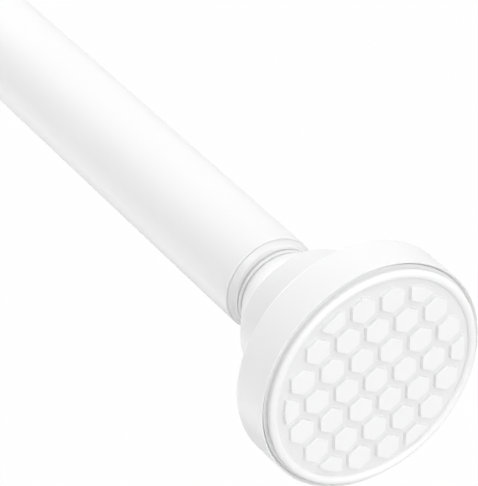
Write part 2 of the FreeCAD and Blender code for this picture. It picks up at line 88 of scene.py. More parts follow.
# Where the panel below the large end is aimed, and from which side it shines.
UNDER_TARGET = Vector((80, 0, 0)) * MM
UNDER_SIDE = Vector((0.71, 0.434, -0.552))
UNDER_DISTANCE = 500 * MM
UNDER_SIZE = 300 * MM


def reach(node):
    """How far a turned node reaches from the rod's axis."""
    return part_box(node)[1].z


def span(node):
    """Where a node starts and ends along the rod."""
    low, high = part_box(node)
    return low.x, high.x


def linear(code):
    """An sRGB hex colour as linear red, green and blue."""
    parts = [int(code[place:place + 2], 16) / 255 for place in (0, 2, 4)]
    return tuple(
        part / 12.92 if part <= 0.04045 else ((part + 0.055) / 1.055) ** 2.4
        for part in parts)


PAD_END = span("large_grip_pad")[1]
ROD_END = span("small_grip_pad")[1]
SKIRT_RADIUS = reach("large_grip_pad")


class RodSizes(PropertyGroup):
    """Sizes of the pieces that are modelled here."""

    bead_radius: FloatProperty(
        name="Bead Radius", description="Outer radius of a pad's rim bead",
        default=28.35 * MM, unit="LENGTH")
    bead_width: FloatProperty(
        name="Bead Width", description="Width of the rim bead",
        default=2.2 * MM, unit="LENGTH")
    bead_height: FloatProperty(
        name="Bead Height", description="Height of bead and studs above a pad's floor",
        default=1.1 * MM, unit="LENGTH")
    bead_taper: FloatProperty(
        name="Bead Taper", description="How far the bead draws in at its foot",
        default=0.45 * MM, unit="LENGTH")
    skirt_depth: FloatProperty(
        name="Skirt Depth", description="From the wall plane back to a pad's skirt",
        default=2.45 * MM, unit="LENGTH")
    skirt_wall: FloatProperty(
        name="Skirt Wall", description="Thickness of a pad's skirt",
        default=1.95 * MM, unit="LENGTH")
    skirt_edge: FloatProperty(
        name="Skirt Edge", description="Rounding of a pad's skirt",
        default=0.1 * MM, unit="LENGTH")
    skirt_swell: FloatProperty(
        name="Skirt Swell", description="How far the soft skirt presses out to the cap's lip",
        default=0.08 * MM, unit="LENGTH")
    plug_radius: FloatProperty(
        name="Plug Radius", description="Radius of the plug on a pad's back",
        default=7.85 * MM, unit="LENGTH")
    stud_pitch: FloatProperty(
        name="Stud Pitch", description="Distance between neighbouring studs",
        default=7.95 * MM, unit="LENGTH")
    stud_flats: FloatProperty(
        name="Stud Flats", description="Width of a stud's top across its flats",
        default=5.95 * MM, unit="LENGTH")
    stud_corner: FloatProperty(
        name="Stud Corner", description="Rounding of a stud's upright edges",
        default=0.3 * MM, unit="LENGTH")
    corner_steps: IntProperty(
        name="Corner Steps", description="Steps in the rounding of a stud's upright edge",
        default=3, min=1)
    stud_edge: FloatProperty(
        name="Stud Edge", description="Rounding of a stud's top edge",
        default=0.12 * MM, unit="LENGTH")
    stud_foot: FloatProperty(
        name="Stud Foot", description="Hollow rounding where a stud meets the floor",
        default=0.2 * MM, unit="LENGTH")
    stud_field: FloatProperty(
        name="Stud Field", description="Radius that trims the corner studs",
        default=24.5 * MM, unit="LENGTH")
    stud_rings: IntProperty(
        name="Stud Rings", description="Rings of studs round the middle one",
        default=3, min=1)
    wire_radius: FloatProperty(
        name="Wire Radius", description="Radius of the pressure spring's wire",
        default=0.9 * MM, unit="LENGTH")
    wire_sides: IntProperty(
        name="Wire Sides", description="Facets round the spring's wire",
        default=14, min=6)
    spring_turns: IntProperty(
        name="Spring Turns", description="Turns of the spring, its two closed ends counted",
        default=9, min=4)
    spring_closed: FloatProperty(
        name="Spring Closed", description="Part of a turn that lies flat at each end",
        default=0.75, min=0)
    spring_ease: FloatProperty(
        name="Spring Ease", description="Part of a turn in which the coil opens",
        default=0.5, min=0.1)
    spring_ground: FloatProperty(
        name="Spring Ground", description="Wire left at the tip of a ground end",
        default=0.3 * MM, unit="LENGTH")
    screw_radius: FloatProperty(
        name="Screw Radius", description="Radius over the lead screw's thread",
        default=4.0 * MM, unit="LENGTH")
    screw_core: FloatProperty(
        name="Screw Core", description="Radius at the root of the lead screw's thread",
        default=3.25 * MM, unit="LENGTH")
    screw_lead: FloatProperty(
        name="Screw Lead", description="Travel of the lead screw's nut in one turn",
        default=5.0 * MM, unit="LENGTH")
    screw_starts: IntProperty(
        name="Screw Starts", description="Threads that run side by side on the lead screw",
        default=2, min=1)
    thread_crest: FloatProperty(
        name="Thread Crest", description="Half a thread's crest as a share of its pitch",
        default=0.18, min=0)
    thread_root: FloatProperty(
        name="Thread Root", description="Half a thread's root as a share of its pitch",
        default=0.31, min=0)
    thread_foot: FloatProperty(
        name="Thread Foot", description="How deep a thread's ridge is sunk in the core",
        default=0.2 * MM, unit="LENGTH")
    tail_journal: FloatProperty(
        name="Tail Journal", description="Radius of the lead screw in the tail guide",
        default=3.0 * MM, unit="LENGTH")
    tip_journal: FloatProperty(
        name="Tip Journal", description="Radius of the lead screw in the tip guide",
        default=2.5 * MM, unit="LENGTH")
    journal_edge: FloatProperty(
        name="Journal Edge", description="Chamfer at the lead screw's two ends",
        default=0.4 * MM, unit="LENGTH")
    facets: IntProperty(
        name="Facets", description="Facets round a turned piece",
        default=192, min=24)
    screw_facets: IntProperty(
        name="Screw Facets", description="Facets round the lead screw's core",
        default=64, min=12)
    hole_facets: IntProperty(
        name="Hole Facets", description="Facets round the hub pin's hole",
        default=24, min=8)
    coil_steps: IntProperty(
        name="Coil Steps", description="Steps in a turn of a spring or thread",
        default=36, min=12)
    arc_steps: IntProperty(
        name="Arc Steps", description="Steps in a small rounding",
        default=5, min=2)


class RodColours(PropertyGroup):
    """Colours of the rod's finishes."""

    paint: FloatVectorProperty(
        name="Paint", description="Powder coat on both tubes",
        default=linear("F2F2F2"), subtype="COLOR", min=0, max=1)
    cap: FloatVectorProperty(
        name="Cap", description="Satin plastic of the end caps and collar",
        default=linear("F2F2F2"), subtype="COLOR", min=0, max=1)
    # Glossy white plastic, toned a little greyer than the caps as painted shade for the neck's
    # recess behind the flange.
    neck: FloatVectorProperty(
        name="Neck", description="Glossy plastic of the plugs and rings",
        default=linear("ECECEC"), subtype="COLOR", min=0, max=1)
    pad: FloatVectorProperty(
        name="Pad", description="Soft rubber of the wall pads",
        default=linear("F1F1F1"), subtype="COLOR", min=0, max=1)
    # The channels' grey is painted shade: it darkens the floor between the studs.
    channel: FloatVectorProperty(
        name="Channel", description="Rubber between the studs, a little greyed",
        default=linear("E9E9E9"), subtype="COLOR", min=0, max=1)
    acetal: FloatVectorProperty(
        name="Acetal", description="Natural plastic of the sliding guides",
        default=linear("ECE9E0"), subtype="COLOR", min=0, max=1)
    elastomer: FloatVectorProperty(
        name="Elastomer", description="Grey elastomer of the lock ring",
        default=linear("4A4A4C"), subtype="COLOR", min=0, max=1)
    zinc: FloatVectorProperty(
        name="Zinc", description="Bright zinc plate on screws, washers and spindle",
        default=linear("C9CCD1"), subtype="COLOR", min=0, max=1)
    wire: FloatVectorProperty(
        name="Wire", description="Drawn spring wire",
        default=linear("8E9094"), subtype="COLOR", min=0, max=1)
    brass: FloatVectorProperty(
        name="Brass", description="Turned brass of the threaded insert",
        default=linear("C9A45C"), subtype="COLOR", min=0, max=1)


class RodStage(PropertyGroup):
    """Floor, light and background."""

    floor_drop: FloatProperty(
        name="Floor Drop", description="How far the floor lies below the rod's axis",
        default=0.6, unit="LENGTH")
    floor_size: FloatProperty(
        name="Floor Size", description="Side of the square floor",
        default=16.0, unit="LENGTH")
    floor_tone: FloatVectorProperty(
        name="Floor Tone", description="Colour of the floor",
        default=linear("DCDCDC"), subtype="COLOR", min=0, max=1)
    floor_plain: FloatProperty(
        name="Floor Plain", description="Share of plain white in what the camera sees of it",
        default=0.97, min=0, max=1, subtype="FACTOR")
    surround: FloatProperty(
        name="Surround", description="Strength of the even light from all round",
        default=0.3, min=0)
    front: FloatProperty(
        name="Front", description="Strength of the soft lamp that faces the large pad",
        default=0.9, min=0)
    front_above: FloatProperty(
        name="Front Above", description="Strength of the soft lamp above the large pad",
        default=1.1, min=0)
    upper_right: FloatProperty(
        name="Upper Right", description="Strength of the soft lamp above the rod's right",
        default=1.02, min=0)
    upper_left: FloatProperty(
        name="Upper Left", description="Strength of the soft lamp above the rod's left",
        default=0.86, min=0)
    rear: FloatProperty(
        name="Rear", description="Strength of the soft lamp that looks along the rod",
        default=1.2, min=0)
    under: FloatProperty(
        name="Under", description="Power of the soft lamp below and behind the large end",
        default=0.25, min=0, unit="POWER")
    spread: FloatProperty(
        name="Spread", description="Width of the soft lamps, seen from the rod",
        default=math.radians(60), subtype="ANGLE")
    rear_spread: FloatProperty(
        name="Rear Spread", description="Width of the rear lamp, which lines the flange's edge",
        default=math.radians(30), subtype="ANGLE")


def deselect_all():
    """Leaves edit mode and selects nothing."""
    if bpy.context.object and bpy.context.object.mode != "OBJECT":
        bpy.ops.object.mode_set(mode="OBJECT")
    bpy.ops.object.select_all(action="DESELECT")


def pick(*pieces):
    """Selects these pieces alone, the first one active."""
    deselect_all()
    for piece in pieces:
        piece.select_set(True)
    bpy.context.view_layer.objects.active = pieces[0]


def settle(piece):
    """Puts a piece's place into its mesh, with the object at the origin."""
    pick(piece)
    bpy.ops.object.transform_apply(location=True, rotation=True, scale=True)


def copy_of(piece, name):
    """A copy of a piece with a mesh of its own."""
    pick(piece)
    bpy.ops.object.duplicate(linked=False)
    copy = bpy.context.object
    copy.name = name
    return copy


def start_ring(name, x, radius, facets):
    """Starts a piece as a ring of edges across the rod's axis."""
    deselect_all()
    bpy.ops.mesh.primitive_circle_add(
        vertices=facets, radius=radius, fill_type="NOTHING",
        location=(x, 0, 0), rotation=(0, QUARTER_TURN, 0))
    piece = bpy.context.object
    piece.name = name
    settle(piece)
    bpy.ops.object.mode_set(mode="EDIT")
    bpy.ops.mesh.select_mode(type="VERT")
    bpy.ops.mesh.select_all(action="SELECT")
    return piece


def pull(profile):
    """Pulls the selected ring from corner to corner of a profile (x, radius)."""
    for (x, radius), (next_x, next_radius) in zip(profile, profile[1:]):
        bpy.ops.mesh.extrude_edges_move(
            TRANSFORM_OT_translate={"value": (next_x - x, 0, 0)})
        if abs(next_radius - radius) > SAME_PLACE:
            scale = next_radius / radius
            bpy.ops.transform.resize(
                value=(1, scale, scale), center_override=(next_x, 0, 0))


def close_ends():
    """Fills the two open rings of a pulled piece and turns its faces outwards."""
    bpy.ops.mesh.edge_face_add()
    bpy.ops.mesh.select_all(action="DESELECT")
    bpy.ops.mesh.select_non_manifold(extend=False)
    bpy.ops.mesh.edge_face_add()
    bpy.ops.mesh.select_all(action="SELECT")
    bpy.ops.mesh.normals_make_consistent(inside=False)
    bpy.ops.object.mode_set(mode="OBJECT")


def arc(centre_x, centre_r, radius_x, radius_r, first, last, steps):
    """Corners along an arc; its angle is 0 towards +X and 90 away from the axis."""
    corners = []
    for index in range(steps + 1):
        angle = math.radians(first + (last - first) * index / steps)
        corners.append((
            centre_x + radius_x * math.cos(angle),
            centre_r + radius_r * math.sin(angle)))
    return corners


def pad_disc(sizes):
    """A pad without its studs: floor, half-round rim bead, skirt and back plug."""
    bead_middle = sizes.bead_radius - sizes.bead_width / 2
    back = sizes.skirt_depth + sizes.skirt_wall
    edge = sizes.skirt_edge
    skirt = SKIRT_RADIUS + sizes.skirt_swell - edge
    # The bead's second radius is negative, so that its arc runs from the floor outwards.
    profile = arc(
        sizes.bead_height, bead_middle, sizes.bead_height, -sizes.bead_width / 2,
        90, 270, 4 * sizes.arc_steps)
    profile.append((sizes.skirt_depth, sizes.bead_radius - sizes.bead_taper))
    profile += arc(sizes.skirt_depth + edge, skirt, edge, edge, 180, 90, sizes.arc_steps)
    profile += arc(back - edge, skirt, edge, edge, 90, 0, sizes.arc_steps)
    profile.append((back, sizes.plug_radius))
    profile += arc(
        PAD_END - edge, sizes.plug_radius - edge, edge, edge, 90, 0, sizes.arc_steps)
    disc = start_ring("pad_disc", *profile[0], sizes.facets)
    pull(profile)
    close_ends()
    return disc


def stud_rings(sizes):
    """A stud's rings (x, inset): buried foot, hollow fillet, wall and rounded top."""
    foot, edge = sizes.stud_foot, sizes.stud_edge
    rings = [(sizes.bead_height + foot, -foot)]
    for x, out in arc(sizes.bead_height - foot, foot, foot, -foot, 0, 90, sizes.arc_steps):
        rings.append((x, -out))
    for x, out in arc(edge, 0, edge, edge, 90, 180, sizes.arc_steps):
        rings.append((x, edge - out))
    return rings


def stud(sizes):
    """One stud on the axis: a rounded hexagon with a corner on top, pulled to the wall."""
    half = sizes.stud_flats / 2
    rings = stud_rings(sizes)
    profile = [(x, half - inset) for x, inset in rings]
    half_side = HALF_TURN / HEXAGON
    piece = start_ring("stud", rings[0][0], profile[0][1] / math.cos(half_side), HEXAGON)
    bpy.ops.transform.rotate(
        value=half_side, orient_axis="X", center_override=(0, 0, 0))
    bpy.ops.mesh.bevel(
        offset=sizes.stud_corner, offset_type="OFFSET", segments=sizes.corner_steps,
        affect="VERTICES")
    bpy.ops.mesh.select_all(action="SELECT")
    pull(profile)
    close_ends()
    return piece


def stud_places(sizes):
    """Honeycomb lattice with a stud on the axis and rows along Y."""
    rings, pitch = sizes.stud_rings, sizes.stud_pitch
    places = []
    for column in range(-rings, rings + 1):
        for row in range(-rings, rings + 1):
            if abs(column + row) <= rings:
                places.append(Vector((
                    0, pitch * (column + row / 2), pitch * row * math.sqrt(3) / 2)))
    return places


def trim_to_field(piece, sizes):
    """Draws a corner stud in to the field's edge, with its own rounded rim."""
    rings = stud_rings(sizes)
    for vertex in piece.data.vertices:
        inset = min(rings, key=lambda ring: abs(ring[0] - vertex.co.x))[1]
        limit = sizes.stud_field - inset
        distance = math.hypot(vertex.co.y, vertex.co.z)
        if distance > limit:
            vertex.co.y *= limit / distance
            vertex.co.z *= limit / distance


def stud_group(sizes):
    """All studs of a pad as one piece, copied from the first."""
    pattern = stud(sizes)
    studs = []
    for place in stud_places(sizes):
        copy = copy_of(pattern, "stud_copy")
        bpy.ops.transform.translate(value=place)
        settle(copy)
        trim_to_field(copy, sizes)
        studs.append(copy)
    pick(pattern)
    bpy.ops.object.delete()
    pick(*studs)
    bpy.ops.object.join()
    return bpy.context.object


def smooth(piece):
    """Smooth faces with sharp edges past an angle, weighted by face size."""
    pick(piece)
    bpy.ops.object.shade_smooth_by_angle(angle=SHARP_ANGLE)
    bpy.ops.object.modifier_add(type="WEIGHTED_NORMAL")
    weighting = piece.modifiers[-1]
    weighting.keep_sharp = True
    bpy.ops.object.modifier_apply(modifier=weighting.name)


def merge(piece, other, operation):
    """Adds another piece's solid to a piece or takes it away, and deletes it."""
    pick(piece)
    bpy.ops.object.modifier_add(type="BOOLEAN")
    joint = piece.modifiers[-1]
    joint.operation = operation
    joint.solver = "EXACT"
    joint.object = other
    bpy.ops.object.modifier_apply(modifier=joint.name)
    pick(other)
    bpy.ops.object.delete()


def wall_pad(sizes):
    """One wall pad: its disc and studs in one skin."""
    disc = pad_disc(sizes)
    studs = stud_group(sizes)
    merge(disc, studs, "UNION")
    return disc


def sweep_round(section, lead, turns, steps):
    """Sweeps an edge ring beside the rod's axis into a coil about it."""
    pick(section)
    bpy.ops.object.modifier_add(type="SCREW")
    sweep = section.modifiers[-1]
    sweep.axis = "X"
    sweep.screw_offset = lead
    sweep.iterations = turns
    sweep.steps = steps
    sweep.render_steps = steps
    bpy.ops.object.modifier_apply(modifier=sweep.name)


def trim_ends(piece, start, end):
    """Closes a coil and cuts it square across the rod's axis at both ends."""
    pick(piece)
    bpy.ops.object.mode_set(mode="EDIT")
    bpy.ops.mesh.select_all(action="SELECT")
    bpy.ops.mesh.fill_holes(sides=0)
    for x, side in ((start, -1), (end, 1)):
        bpy.ops.mesh.select_all(action="SELECT")
        bpy.ops.mesh.bisect(
            plane_co=(x, 0, 0), plane_no=(side, 0, 0), use_fill=True, clear_outer=True,
            threshold=SAME_PLACE)
    bpy.ops.mesh.select_all(action="SELECT")
    bpy.ops.mesh.normals_make_consistent(inside=False)
    bpy.ops.object.mode_set(mode="OBJECT")


def open_turns(sizes, length):
    """How far the open turns carry each section of the wire, past turns that touch."""
    last = sizes.spring_turns * sizes.coil_steps
    rises = []
    for index in range(last):
        turns_in = min(index, last - index) / sizes.coil_steps
        share = min(1, max(0, (turns_in - sizes.spring_closed) / sizes.spring_ease))
        # A smooth step, so that the coil opens and closes without a kink.
        rises.append(share * share * (3 - 2 * share))
    spare = length - 2 * sizes.wire_radius * sizes.spring_turns
    places = [0]
    for rise in rises:
        places.append(places[-1] + rise * spare / sum(rises))
    return places


def pressure_spring(sizes):
    """A compression spring of round wire with closed and ground ends."""
    start, end = span("pressure_spring")
    wire = sizes.wire_radius
    deselect_all()
    bpy.ops.mesh.primitive_circle_add(
        vertices=sizes.wire_sides, radius=wire, fill_type="NOTHING",
        location=(0, 0, reach("pressure_spring") - wire), rotation=(QUARTER_TURN, 0, 0))
    spring = bpy.context.object
    spring.name = "closed_end_spring"
    settle(spring)
    sweep_round(spring, 2 * wire, sizes.spring_turns, sizes.coil_steps)
    outside = wire - sizes.spring_ground
    places = open_turns(sizes, end - start + 2 * outside)
    for index, vertex in enumerate(spring.data.vertices):
        vertex.co.x += start - outside + places[index // sizes.wire_sides]
    trim_ends(spring, start, end)
    return spring


def plain_spindle(sizes, thread_start, thread_end):
    """The lead screw's turned core: two journals, the hub's seat and the thread's root."""
    tail, tip = span("lead_screw")
    hub_start = span("eccentric_hub")[0]
    full, core, edge = sizes.screw_radius, sizes.screw_core, sizes.journal_edge
    profile = [
        (tail, sizes.tail_journal - edge), (tail + edge, sizes.tail_journal),
        (hub_start, sizes.tail_journal), (hub_start, full),
        (thread_start, full), (thread_start, core), (thread_end, core),
        (thread_end, sizes.tip_journal), (tip - edge, sizes.tip_journal),
        (tip, sizes.tip_journal - edge)]
    spindle = start_ring("threaded_spindle", *profile[0], sizes.screw_facets)
    pull(profile)
    close_ends()
    return spindle


def drill_pin_hole(spindle, sizes):
    """Drills the hub pin's hole through the lead screw."""
    low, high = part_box("hub_pin")
    deselect_all()
    bpy.ops.mesh.primitive_cylinder_add(
        vertices=sizes.hole_facets, radius=(high.x - low.x) / 2, depth=4 * sizes.screw_radius,
        location=((low.x + high.x) / 2, 0, 0))
    hole = bpy.context.object
    settle(hole)
    merge(spindle, hole, "DIFFERENCE")


def thread_ridge(sizes, first, thread_start, thread_end):
    """One start of the thread: a ridge swept from its first place, cut at both ends."""
    pitch = sizes.screw_lead / sizes.screw_starts
    crest, root = pitch * sizes.thread_crest, pitch * sizes.thread_root
    full, foot = sizes.screw_radius, sizes.screw_core - sizes.thread_foot
    turns = math.ceil((thread_end - thread_start) / sizes.screw_lead) + 1
    corners = ((-root, foot), (-crest, full), (crest, full), (root, foot))
    deselect_all()
    bpy.ops.mesh.primitive_circle_add(vertices=len(corners), fill_type="NOTHING")
    ridge = bpy.context.object
    for vertex, (x, radius) in zip(ridge.data.vertices, corners):
        vertex.co = (first + x, 0, radius)
    sweep_round(ridge, sizes.screw_lead, turns, sizes.coil_steps)
    trim_ends(ridge, thread_start, thread_end)
    return ridge


def threaded_spindle(sizes):
    """The lead screw: plain journals, and right-handed threads on its middle."""
    thread_start = span("eccentric_hub")[1]
    thread_end = span("tip_guide")[0]
    spindle = plain_spindle(sizes, thread_start, thread_end)
    drill_pin_hole(spindle, sizes)
    pitch = sizes.screw_lead / sizes.screw_starts
    ridges = [
        thread_ridge(sizes, thread_start + (start - 1) * pitch, thread_start, thread_end)
        for start in range(sizes.screw_starts)]
    pick(spindle, *ridges)
    bpy.ops.object.join()
    return spindle


def add_node(tree, kind, settings=None, inputs=None):
    """Adds a node with its settings, and values or links for its inputs."""
    node = tree.nodes.new(kind)
    for name, value in (settings or {}).items():
        setattr(node, name, value)
    for name, value in (inputs or {}).items():
        if isinstance(value, bpy.types.NodeSocket):
            tree.links.new(value, node.inputs[name])
        else:
            node.inputs[name].default_value = value
    return node


def new_finish(name, colour, **inputs):
    """Starts a finish: its shader, and a point on the object to draw patterns on."""
    finish = bpy.data.materials.new(name)
    finish.use_nodes = True
    finish.diffuse_color = (*colour, 1)
    tree = finish.node_tree
    shader = tree.nodes["Principled BSDF"]
    shader.inputs["Base Color"].default_value = (*colour, 1)
    for socket, value in inputs.items():
        shader.inputs[socket.replace("_", " ")].default_value = value
    point = add_node(tree, "ShaderNodeTexCoord").outputs["Object"]
    return finish, tree, shader, point


def clouded(tree, point, size, detail, colour, tones):
    """A slow drift over a finish, from 0 to 1, and its colour between two tones."""
    drift = add_node(tree, "ShaderNodeTexNoise", {}, {
        "Vector": point, "Scale": 1 / size, "Detail": detail}).outputs["Fac"]
    low, high = [(*[min(1, part * tone) for part in colour], 1) for tone in tones]
    toned = add_node(
        tree, "ShaderNodeMix", {"data_type": "RGBA"}, {0: drift, 6: low, 7: high})
    return drift, toned.outputs[2]


def powder_coat(colours):
    """Powder-coated steel, sprayed and baked: satin white with a faint orange peel."""
    finish, tree, shader, point = new_finish("powder_coated_steel", colours.paint, IOR=1.5)
    peel = 1.8 * MM
    drift, tone = clouded(
        tree, point, size=24 * MM, detail=2.0, colour=colours.paint, tones=(0.994, 1.004))
    waves = add_node(tree, "ShaderNodeTexNoise", {}, {
        "Vector": point, "Scale": 1 / peel, "Detail": 1.5, "Roughness": 0.45})
    bump = add_node(tree, "ShaderNodeBump", {}, {
        "Strength": 0.12, "Distance": 0.05 * MM, "Height": waves.outputs["Fac"]})
    sheen = add_node(tree, "ShaderNodeMapRange", {}, {
        "Value": drift, "To Min": 0.33, "To Max": 0.4})
    tree.links.new(bump.outputs["Normal"], shader.inputs["Normal"])
    tree.links.new(tone, shader.inputs["Base Color"])
    tree.links.new(sheen.outputs["Result"], shader.inputs["Roughness"])
    return finish


def moulded_plastic(name, colour, grain, depth, roughness, glow=0.0):
    """Injection-moulded plastic: an even skin with the mould's own surface on it."""
    finish, tree, shader, point = new_finish(name, colour, IOR=1.53)
    shader.inputs["Subsurface Weight"].default_value = glow
    shader.inputs["Subsurface Radius"].default_value = (1, 1, 1)
    shader.inputs["Subsurface Scale"].default_value = 0.8 * MM
    drift, tone = clouded(
        tree, point, size=18 * MM, detail=2.0, colour=colour, tones=(0.99, 1.005))
    skin = add_node(tree, "ShaderNodeTexNoise", {}, {
        "Vector": point, "Scale": 1 / grain, "Detail": 2.5, "Roughness": 0.6})
    bump = add_node(tree, "ShaderNodeBump", {}, {
        "Strength": 0.3, "Distance": depth, "Height": skin.outputs["Fac"]})
    sheen = add_node(tree, "ShaderNodeMapRange", {}, {
        "Value": drift, "To Min": roughness * 0.92, "To Max": roughness * 1.08})
    tree.links.new(bump.outputs["Normal"], shader.inputs["Normal"])
    tree.links.new(tone, shader.inputs["Base Color"])
    tree.links.new(sheen.outputs["Result"], shader.inputs["Roughness"])
    return finish


def pad_rubber(sizes, colours):
    """Soft moulded rubber: smooth where it meets the wall, matt between the studs, with the
    channels greyed by painted shade.
    """
    finish, tree, shader, point = new_finish(
        "soft_thermoplastic_rubber", colours.pad, IOR=1.5)
    grain = 0.35 * MM
    middle = ROD_END / 2
    # Both pads share this finish, so their depth is measured from the rod's middle.
    along = add_node(tree, "ShaderNodeSeparateXYZ", {}, {"Vector": point}).outputs["X"]
    offset = add_node(tree, "ShaderNodeMath", {"operation": "SUBTRACT"}, {0: along, 1: middle})
    reached = add_node(
        tree, "ShaderNodeMath", {"operation": "ABSOLUTE"}, {0: offset.outputs["Value"]})
    # Depth mask: 0 on the channel floor, 1 on the stud tops. It sets both the channels' painted
    # shade and their duller roughness.
    raised = add_node(tree, "ShaderNodeMapRange", {"interpolation_type": "SMOOTHSTEP"}, {
        "Value": reached.outputs["Value"], "From Min": middle - sizes.bead_height,
        "From Max": middle - 2 * sizes.stud_edge}).outputs["Result"]
    stud_top_tone = clouded(
        tree, point, size=12 * MM, detail=2.0, colour=colours.pad, tones=(0.992, 1.004))[1]
    # Painted shade: the channels between the studs take a darker tone than the tops.
    shade = add_node(tree, "ShaderNodeMix", {"data_type": "RGBA"}, {
        0: raised, 6: (*colours.channel, 1), 7: stud_top_tone})
    skin = add_node(tree, "ShaderNodeTexNoise", {}, {
        "Vector": point, "Scale": 1 / grain, "Detail": 2.5, "Roughness": 0.6})
    bump = add_node(tree, "ShaderNodeBump", {}, {
        "Strength": 0.25, "Distance": 0.03 * MM, "Height": skin.outputs["Fac"]})
    sheen = add_node(tree, "ShaderNodeMapRange", {}, {
        "Value": raised, "To Min": 0.62, "To Max": 0.45})
    tree.links.new(bump.outputs["Normal"], shader.inputs["Normal"])
    tree.links.new(shade.outputs[2], shader.inputs["Base Color"])
    tree.links.new(sheen.outputs["Result"], shader.inputs["Roughness"])
    return finish


def turned_metal(name, colour, spacing, roughness, wear):
    """Metal turned or drawn about the rod's axis, with rings and a worn sheen."""
    finish, tree, shader, point = new_finish(name, colour, Metallic=1.0)
    drift, tone = clouded(
        tree, point, size=3 * MM, detail=4.0, colour=colour, tones=(1 - wear, 1 + wear / 2))
    rings = add_node(tree, "ShaderNodeTexWave", {
        "wave_type": "BANDS", "bands_direction": "X", "wave_profile": "SIN"}, {
        "Vector": point, "Scale": FULL_TURN / WAVE_RATE / spacing, "Distortion": 1.2,
        "Detail": 1.0})
    bump = add_node(tree, "ShaderNodeBump", {}, {
        "Strength": 0.2, "Distance": 0.01 * MM, "Height": rings.outputs["Fac"]})
    sheen = add_node(tree, "ShaderNodeMapRange", {}, {
        "Value": drift, "To Min": roughness * 0.8, "To Max": roughness * 1.25})
    tree.links.new(bump.outputs["Normal"], shader.inputs["Normal"])
    tree.links.new(tone, shader.inputs["Base Color"])
    tree.links.new(sheen.outputs["Result"], shader.inputs["Roughness"])
    return finish


def finishes(sizes, colours):
    """Every finish of the rod by the record's material slot."""
    return {
        # Sprayed and baked powder coat: a satin white whose sheen wavers very slightly.
        "tube_paint": powder_coat(colours),
        # ABS from a finely textured mould: an even satin white with wide, soft highlights.
        "cap_plastic": moulded_plastic(
            "moulded_satin_abs", colours.cap, grain=0.5 * MM, depth=0.02 * MM, roughness=0.3),
        # ABS from a polished mould: a gloss that draws bright lines round neck and rings.
        # Its colour sits below the caps' as painted shade for the recessed neck.
        "neck_plastic": moulded_plastic(
            "polished_gloss_abs", colours.neck, grain=2.5 * MM, depth=0.01 * MM,
            roughness=0.12),
        # Soft rubber: smooth pale tops on the studs, with duller channels between, greyed by
        # painted shade.
        "soft_pad": pad_rubber(sizes, colours),
        # Uncoloured acetal: a warm, slightly waxy white that lets a little light in.
        "guide_plastic": moulded_plastic(
            "natural_acetal", colours.acetal, grain=0.8 * MM, depth=0.01 * MM,
            roughness=0.32, glow=0.25),
        # Grey elastomer: dark and dull, with hardly a highlight on its ribs.
        "lock_rubber": moulded_plastic(
            "grey_elastomer", colours.elastomer, grain=0.4 * MM, depth=0.03 * MM,
            roughness=0.6),
        # Bright zinc plate on turned steel: pale metal with soft rings and faint clouding.
        # A lathe's rings are too fine to show, so this and the next two are drawn coarser.
        "zinc_steel": turned_metal(
            "zinc_plated_steel", colours.zinc, spacing=1.885 * MM, roughness=0.26,
            wear=0.05),
        # Drawn wire: a darker metal whose long highlight follows each turn of the coil.
        "spring_steel": turned_metal(
            "drawn_spring_wire", colours.wire, spacing=2.513 * MM, roughness=0.34,
            wear=0.1),
        # Turned brass: warm yellow metal with a clear gleam and soft rings.
        "brass": turned_metal(
            "turned_brass", colours.brass, spacing=1.571 * MM, roughness=0.24, wear=0.06),
    }


def dress(piece, slot_name):
    """Gives a piece the finish of one of the record's material slots."""
    piece.data.materials.clear()
    piece.data.materials.append(bpy.data.materials[FINISH_NAMES[slot_name]])


class ROD_OT_finishes(Operator):
    """Makes the finishes and gives each carried-over node its own"""

    bl_idname = "rod.finishes"
    bl_label = "Finishes"

    def execute(self, context):
        made = finishes(context.scene.rod_sizes, context.scene.rod_colours)
        FINISH_NAMES.update({slot_name: finish.name for slot_name, finish in made.items()})
        for row in frame["record"]["subparts"]:
            node = frame["nodes"][row["node"]]
            finish = bpy.data.materials[FINISH_NAMES[row["material_slot"]]]
            for place in node.material_slots:
                place.material = finish
        return {"FINISHED"}


class ROD_OT_wall_pads(Operator):
    """Models the studded wall pad and repeats it at the far end"""

    bl_idname = "rod.wall_pads"
    bl_label = "Wall Pads"

    def execute(self, context):
        near = wall_pad(context.scene.rod_sizes)
        near.name = "large_studded_pad"
        far = copy_of(near, "small_studded_pad")
        bpy.ops.transform.rotate(
            value=HALF_TURN, orient_axis="Z", center_override=(ROD_END / 2, 0, 0))
        settle(far)
        for pad, node, body in (
                (near, "large_grip_pad", "large_end"),
                (far, "small_grip_pad", "small_end")):
            smooth(pad)
            dress(pad, "soft_pad")
            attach(pad, body)
            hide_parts(node)
        return {"FINISHED"}


class ROD_OT_pressure_spring(Operator):
    """Models the spring that presses the pads on the walls"""

    bl_idname = "rod.pressure_spring"
    bl_label = "Pressure Spring"

    def execute(self, context):
        spring = pressure_spring(context.scene.rod_sizes)
        smooth(spring)
        dress(spring, "spring_steel")
        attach(spring, "small_tube")
        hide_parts("pressure_spring")
        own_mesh(spring)
        return {"FINISHED"}


class ROD_OT_lead_screw(Operator):
    """Models the threaded spindle that the nut slider travels on"""

    bl_idname = "rod.lead_screw"
    bl_label = "Lead Screw"

    def execute(self, context):
        spindle = threaded_spindle(context.scene.rod_sizes)
        smooth(spindle)
        dress(spindle, "zinc_steel")
        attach(spindle, "lead_screw")
        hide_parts("lead_screw")
        return {"FINISHED"}


